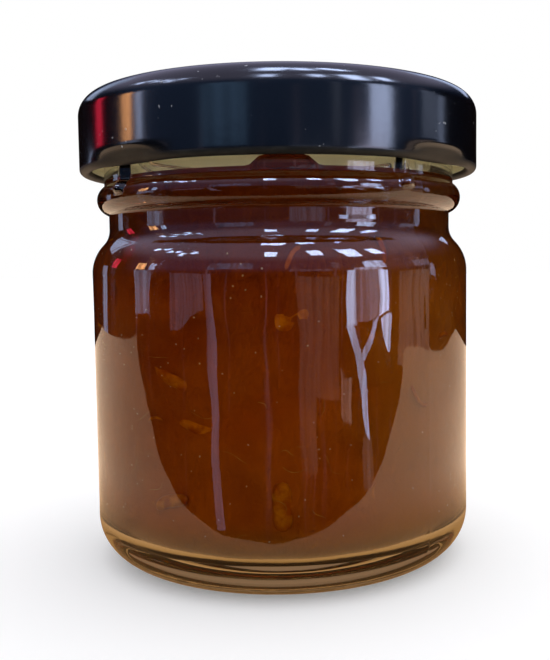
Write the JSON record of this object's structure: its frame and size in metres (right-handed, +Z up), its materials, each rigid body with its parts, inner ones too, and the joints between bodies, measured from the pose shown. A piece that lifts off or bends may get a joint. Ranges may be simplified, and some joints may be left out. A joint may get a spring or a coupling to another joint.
{
  "type": "marmalade jar",
  "caption": "Small round clear glass jar filled with dark orange marmalade, shut with a black metal twist-off lid.",
  "frame": {"origin": "centre of the jar's base, on the surface that it stands on", "axes": "+Z up along the jar's axis; the front faces -Y and +X is to its right"},
  "size_m": [0.0462, 0.0462, 0.0532],
  "materials": {
    "clear_glass": "clear, smooth, slightly uneven pressed glass",
    "marmalade": "dark amber translucent jelly with peel",
    "black_lacquer": "black gloss lacquer on tinplate"
  },
  "bodies": {
    "root": {"jar": "clear_glass", "marmalade": "marmalade", "lid": "black_lacquer"}
  },
  "joints": []
}
